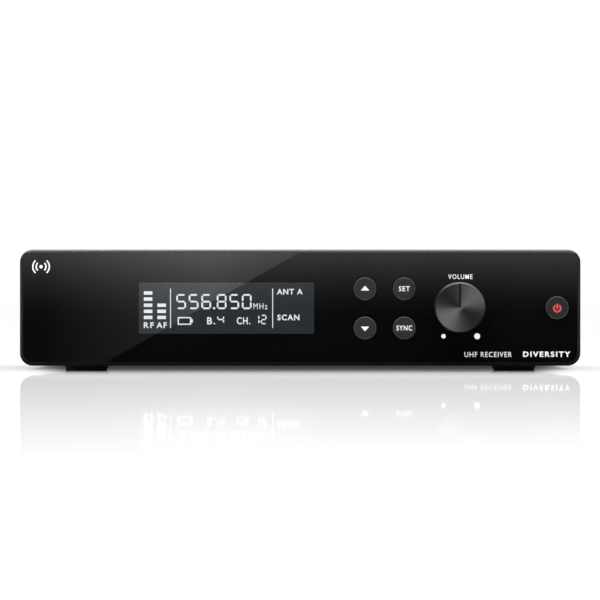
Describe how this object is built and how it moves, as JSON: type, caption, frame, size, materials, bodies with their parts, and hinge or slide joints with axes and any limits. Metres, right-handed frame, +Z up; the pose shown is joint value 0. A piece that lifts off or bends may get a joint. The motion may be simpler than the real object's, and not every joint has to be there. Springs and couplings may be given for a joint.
{
  "type": "wireless microphone receiver",
  "caption": "Half-width wireless microphone receiver with a lit display, round keys, a turning volume knob, a power key and rear antenna, audio and power sockets.",
  "frame": {"origin": "on the surface the feet stand on, midway across and midway from front to rear", "axes": "+X to the right as seen from the front, +Y from the front panel to the rear, +Z up"},
  "size_m": [0.2, 0.154, 0.0433],
  "materials": {
    "housing_steel": "fine-textured black powder coat",
    "bezel_metal": "satin black paint on die-cast metal",
    "panel_gloss": "polished black",
    "window": "polished, tinted grey",
    "lcd_cell": "dark blue-grey display cell with light segments",
    "lcd_light": "diffusing white",
    "tinned_steel": "tinned sheet",
    "carrier_plastic": "moulded, fine texture",
    "board_laminate": "green solder resist",
    "key_plastic": "satin dark grey",
    "light_guide": "translucent red, lit from behind",
    "plunger_plastic": "moulded",
    "led_resin": "clear resin",
    "knob_metal": "black anodised, turned face",
    "shaft_metal": "plated",
    "switch_body": "moulded",
    "ribbon": "satin white film",
    "cream_plastic": "moulded",
    "chip_resin": "moulded resin",
    "capacitor_sleeve": "shrink sleeve",
    "ferrite": "matt ferrite",
    "lead_jacket": "smooth jacket",
    "nickel": "bright nickel plate",
    "gold_contact": "gold flash",
    "white_insulator": "smooth fluoropolymer",
    "socket_plastic": "moulded black",
    "squelch_blue": "moulded",
    "foot_rubber": "matt rubber"
  },
  "bodies": {
    "receiver": {"top_cover": "housing_steel", "chassis_tray": "housing_steel", "rear_panel": "housing_steel", "front_bezel": "bezel_metal", "front_panel": "panel_gloss", "display_window": "window", "lcd_glass": "lcd_cell", "lcd_frame": "tinned_steel", "lcd_backlight": "lcd_light", "front_carrier": "carrier_plastic", "front_board": "board_laminate", "key_switches": "switch_body", "power_led": "led_resin", "volume_pot": "tinned_steel", "ribbon_cable": "ribbon", "ribbon_sockets": "cream_plastic", "main_board": "board_laminate", "tuner_shield_a": "tinned_steel", "tuner_shield_b": "tinned_steel", "ic_chips": "chip_resin", "electrolytic_capacitors": "capacitor_sleeve", "power_inductor": "ferrite", "antenna_lead_a": "lead_jacket", "antenna_lead_b": "lead_jacket", "antenna_socket_a": "nickel", "antenna_socket_b": "nickel", "antenna_insulators": "white_insulator", "antenna_contacts": "gold_contact", "panel_nuts": "nickel", "panel_washers": "tinned_steel", "xlr_shell": "socket_plastic", "xlr_insert": "socket_plastic", "xlr_pins": "gold_contact", "jack_housing": "socket_plastic", "jack_bushing": "nickel", "jack_contacts": "gold_contact", "dc_socket": "socket_plastic", "dc_pin": "nickel", "squelch_pot": "squelch_blue", "cable_hook": "socket_plastic", "rubber_feet": "foot_rubber", "rack_nuts": "tinned_steel", "board_standoffs": "nickel", "board_screws": "nickel", "housing_screws": "nickel"},
    "volume_control": {"volume_knob": "knob_metal", "volume_shaft": "shaft_metal"},
    "up_key": {"key_up": "key_plastic", "plunger_up": "plunger_plastic"},
    "down_key": {"key_down": "key_plastic", "plunger_down": "plunger_plastic"},
    "set_key": {"key_set": "key_plastic", "plunger_set": "plunger_plastic"},
    "sync_key": {"key_sync": "key_plastic", "plunger_sync": "plunger_plastic"},
    "power_button": {"power_key": "key_plastic", "power_light_guide": "light_guide", "plunger_power": "plunger_plastic"},
    "squelch_control": {"squelch_knob": "socket_plastic", "squelch_shaft": "shaft_metal"}
  },
  "joints": [
    {"name": "volume_turn", "type": "hinge", "parent": "receiver", "child": "volume_control", "pos_m": [0.0565, -0.07, 0.02255], "axis": [0, 1, 0], "range_deg": [-150, 150]},
    {"name": "squelch_turn", "type": "hinge", "parent": "receiver", "child": "squelch_control", "pos_m": [0.01, 0.07, 0.02255], "axis": [0, -1, 0], "range_deg": [-140, 140]},
    {"name": "up_press", "type": "slide", "parent": "receiver", "child": "up_key", "axis": [0, 1, 0], "range_m": [0, 0.0006], "stiffness_N_per_m": 800, "springref_m": -0.0005},
    {"name": "down_press", "type": "slide", "parent": "receiver", "child": "down_key", "axis": [0, 1, 0], "range_m": [0, 0.0006], "stiffness_N_per_m": 800, "springref_m": -0.0005},
    {"name": "set_press", "type": "slide", "parent": "receiver", "child": "set_key", "axis": [0, 1, 0], "range_m": [0, 0.0006], "stiffness_N_per_m": 800, "springref_m": -0.0005},
    {"name": "sync_press", "type": "slide", "parent": "receiver", "child": "sync_key", "axis": [0, 1, 0], "range_m": [0, 0.0006], "stiffness_N_per_m": 800, "springref_m": -0.0005},
    {"name": "power_press", "type": "slide", "parent": "receiver", "child": "power_button", "axis": [0, 1, 0], "range_m": [0, 0.0006], "stiffness_N_per_m": 800, "springref_m": -0.0005}
  ]
}
